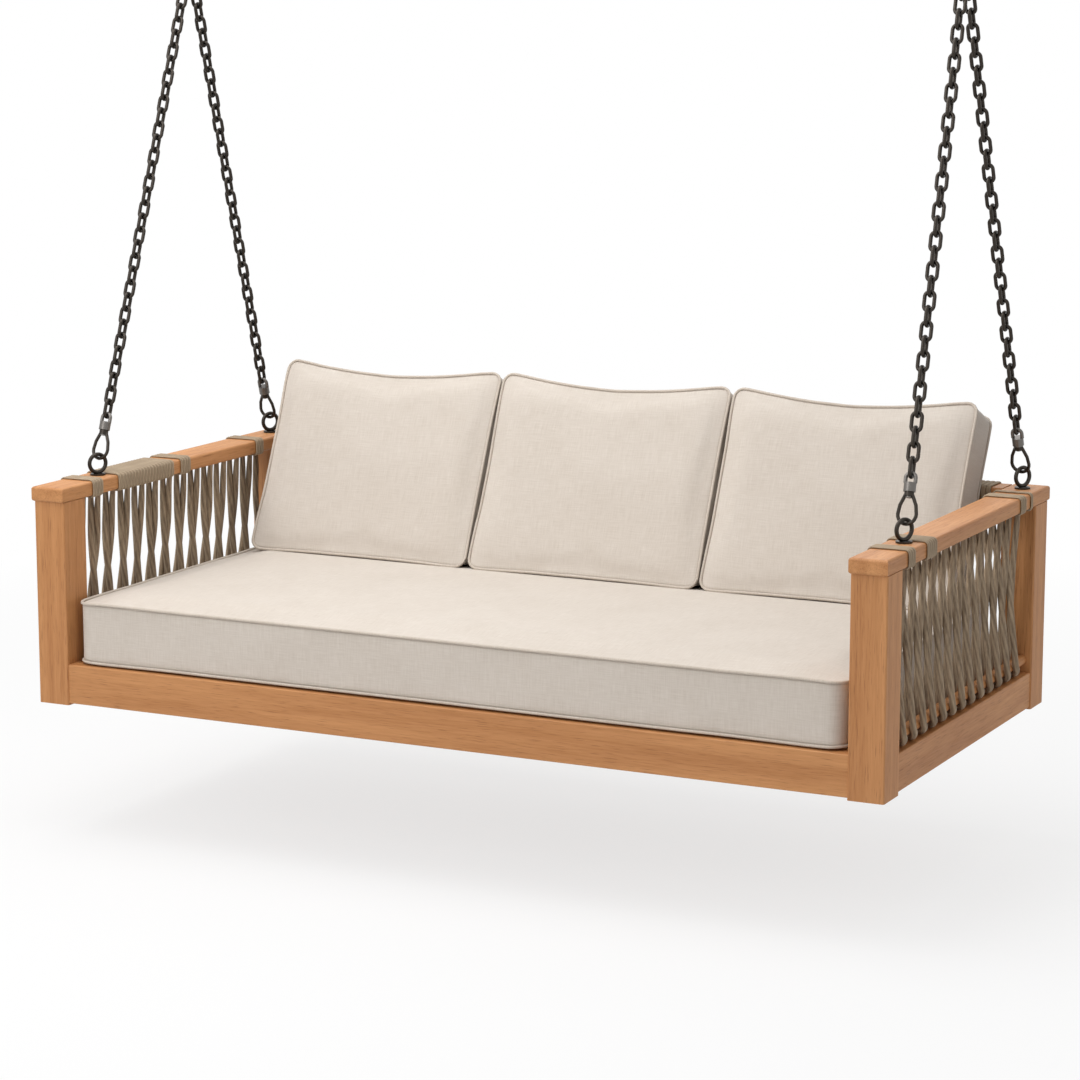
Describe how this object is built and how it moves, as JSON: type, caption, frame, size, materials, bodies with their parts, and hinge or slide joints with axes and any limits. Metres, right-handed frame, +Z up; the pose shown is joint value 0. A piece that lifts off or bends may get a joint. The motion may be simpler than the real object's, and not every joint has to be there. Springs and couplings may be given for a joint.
{
  "type": "hanging swing bed",
  "caption": "Hanging swing bed: wooden frame with rope-woven ends and back, slatted base, box seat cushion and leaning back cushions, hung by chains and swivels.",
  "frame": {"origin": "centre of the rectangle of the four ceiling bolt holes, on the ceiling plates' upper faces", "axes": "+X along the bed from its left end to its right end, seen from the open front; +Y from the open front to the back; +Z up"},
  "size_m": [2.013, 1.014, 1.7426],
  "materials": {
    "teak": "oiled hardwood, fine straight grain",
    "inner_wood": "sanded hardwood",
    "rope": "twisted synthetic rope, taupe",
    "whipping_cord": "fine wound cord, taupe",
    "linen": "plain woven natural linen with piping",
    "dark_steel": "gunmetal, satin",
    "plain_steel": "zinc-plated",
    "swivel_steel": "worn grey steel"
  },
  "bodies": {
    "ceiling_hangers": {"ceiling_plate_left": "dark_steel", "ceiling_plate_right": "dark_steel", "hanger_pins": "plain_steel", "hanger_nuts": "plain_steel"},
    "left_yoke": {"yoke_left": "dark_steel"},
    "right_yoke": {"yoke_right": "dark_steel"},
    "left_chains": {"apex_ring_left": "dark_steel", "chain_left_front": "dark_steel", "chain_left_back": "dark_steel", "swivel_left_front": "swivel_steel", "swivel_left_back": "swivel_steel"},
    "right_chains": {"apex_ring_right": "dark_steel", "chain_right_front": "dark_steel", "chain_right_back": "dark_steel", "swivel_right_front": "swivel_steel", "swivel_right_back": "swivel_steel"},
    "bed": {"post_left_front": "teak", "post_left_back": "teak", "post_right_front": "teak", "post_right_back": "teak", "arm_rail_left": "teak", "arm_rail_right": "teak", "back_top_rail": "teak", "front_base_rail": "teak", "back_base_rail": "teak", "left_base_rail": "teak", "right_base_rail": "teak", "lower_dowel_left": "teak", "lower_dowel_right": "teak", "lower_dowel_back": "teak", "base_tenons": "inner_wood", "top_tenons": "inner_wood", "arm_dowels": "inner_wood", "slats": "inner_wood", "slat_cleats": "inner_wood", "centre_beam": "inner_wood", "beam_blocks": "inner_wood", "weave_left": "rope", "weave_right": "rope", "weave_back": "rope", "arm_whipping_left": "whipping_cord", "arm_whipping_right": "whipping_cord", "back_whipping": "whipping_cord", "eye_bolts": "dark_steel", "eye_washers": "plain_steel", "eye_nuts": "plain_steel", "slat_screws": "plain_steel", "weave_rod_left": "plain_steel", "weave_rod_right": "plain_steel", "weave_rod_back": "plain_steel"},
    "left_front_bow": {"bow_left_front": "dark_steel"},
    "left_back_bow": {"bow_left_back": "dark_steel"},
    "right_front_bow": {"bow_right_front": "dark_steel"},
    "right_back_bow": {"bow_right_back": "dark_steel"},
    "seat": {"seat_cushion": "linen"},
    "left_cushion": {"back_cushion_left": "linen"},
    "centre_cushion": {"back_cushion_centre": "linen"},
    "right_cushion": {"back_cushion_right": "linen"}
  },
  "joints": [
    {"name": "swing", "type": "hinge", "parent": "ceiling_hangers", "child": "left_yoke", "pos_m": [-0.931, 0, -0.04], "axis": [1, 0, 0], "range_deg": [-20, 20]},
    {"name": "swing_right", "type": "hinge", "parent": "ceiling_hangers", "child": "right_yoke", "pos_m": [0.931, 0, -0.04], "axis": [1, 0, 0], "range_deg": [-20.5, 20.5]},
    {"name": "sway", "type": "hinge", "parent": "left_yoke", "child": "left_chains", "pos_m": [-0.931, 0, -0.0856], "axis": [0, 1, 0], "range_deg": [-6, 6]},
    {"name": "sway_bed", "type": "hinge", "parent": "left_chains", "child": "bed", "pos_m": [-0.96089, 0, -1.20843], "axis": [0, 1, 0], "range_deg": [-6.5, 6.5]},
    {"name": "sway_right", "type": "hinge", "parent": "bed", "child": "right_chains", "pos_m": [0.96089, 0, -1.20843], "axis": [0, 1, 0], "range_deg": [-6.5, 6.5]},
    {"name": "left_front_swivel", "type": "hinge", "parent": "left_chains", "child": "left_front_bow", "pos_m": [-0.9582, -0.36805, -1.2085], "axis": [0.0235, 0.3178, 0.9479], "range_deg": [-15, 15]},
    {"name": "left_back_swivel", "type": "hinge", "parent": "left_chains", "child": "left_back_bow", "pos_m": [-0.96358, 0.36845, -1.20836], "axis": [0.0281, -0.3181, 0.9477], "range_deg": [-15, 15]},
    {"name": "right_front_swivel", "type": "hinge", "parent": "right_chains", "child": "right_front_bow", "pos_m": [0.96358, -0.36845, -1.20836], "axis": [-0.0281, 0.3181, 0.9477], "range_deg": [-15, 15]},
    {"name": "right_back_swivel", "type": "hinge", "parent": "right_chains", "child": "right_back_bow", "pos_m": [0.9582, 0.36805, -1.2085], "axis": [-0.0235, -0.3178, 0.9479], "range_deg": [-15, 15]},
    {"name": "seat_lift", "type": "slide", "parent": "bed", "child": "seat", "axis": [0, 0, 1], "range_m": [0, 0.3]},
    {"name": "left_cushion_lift", "type": "slide", "parent": "seat", "child": "left_cushion", "axis": [0, 0.4067, 0.9135], "range_m": [0, 0.3]},
    {"name": "centre_cushion_lift", "type": "slide", "parent": "seat", "child": "centre_cushion", "axis": [0, 0.4067, 0.9135], "range_m": [0, 0.3]},
    {"name": "right_cushion_lift", "type": "slide", "parent": "seat", "child": "right_cushion", "axis": [0, 0.4067, 0.9135], "range_m": [0, 0.3]}
  ],
  "couplings": [
    {"joint": "swing_right", "follows": "swing", "ratio": 1},
    {"joint": "sway_bed", "follows": "sway", "ratio": -0.96889},
    {"joint": "sway_right", "follows": "sway", "ratio": 0.96889}
  ]
}
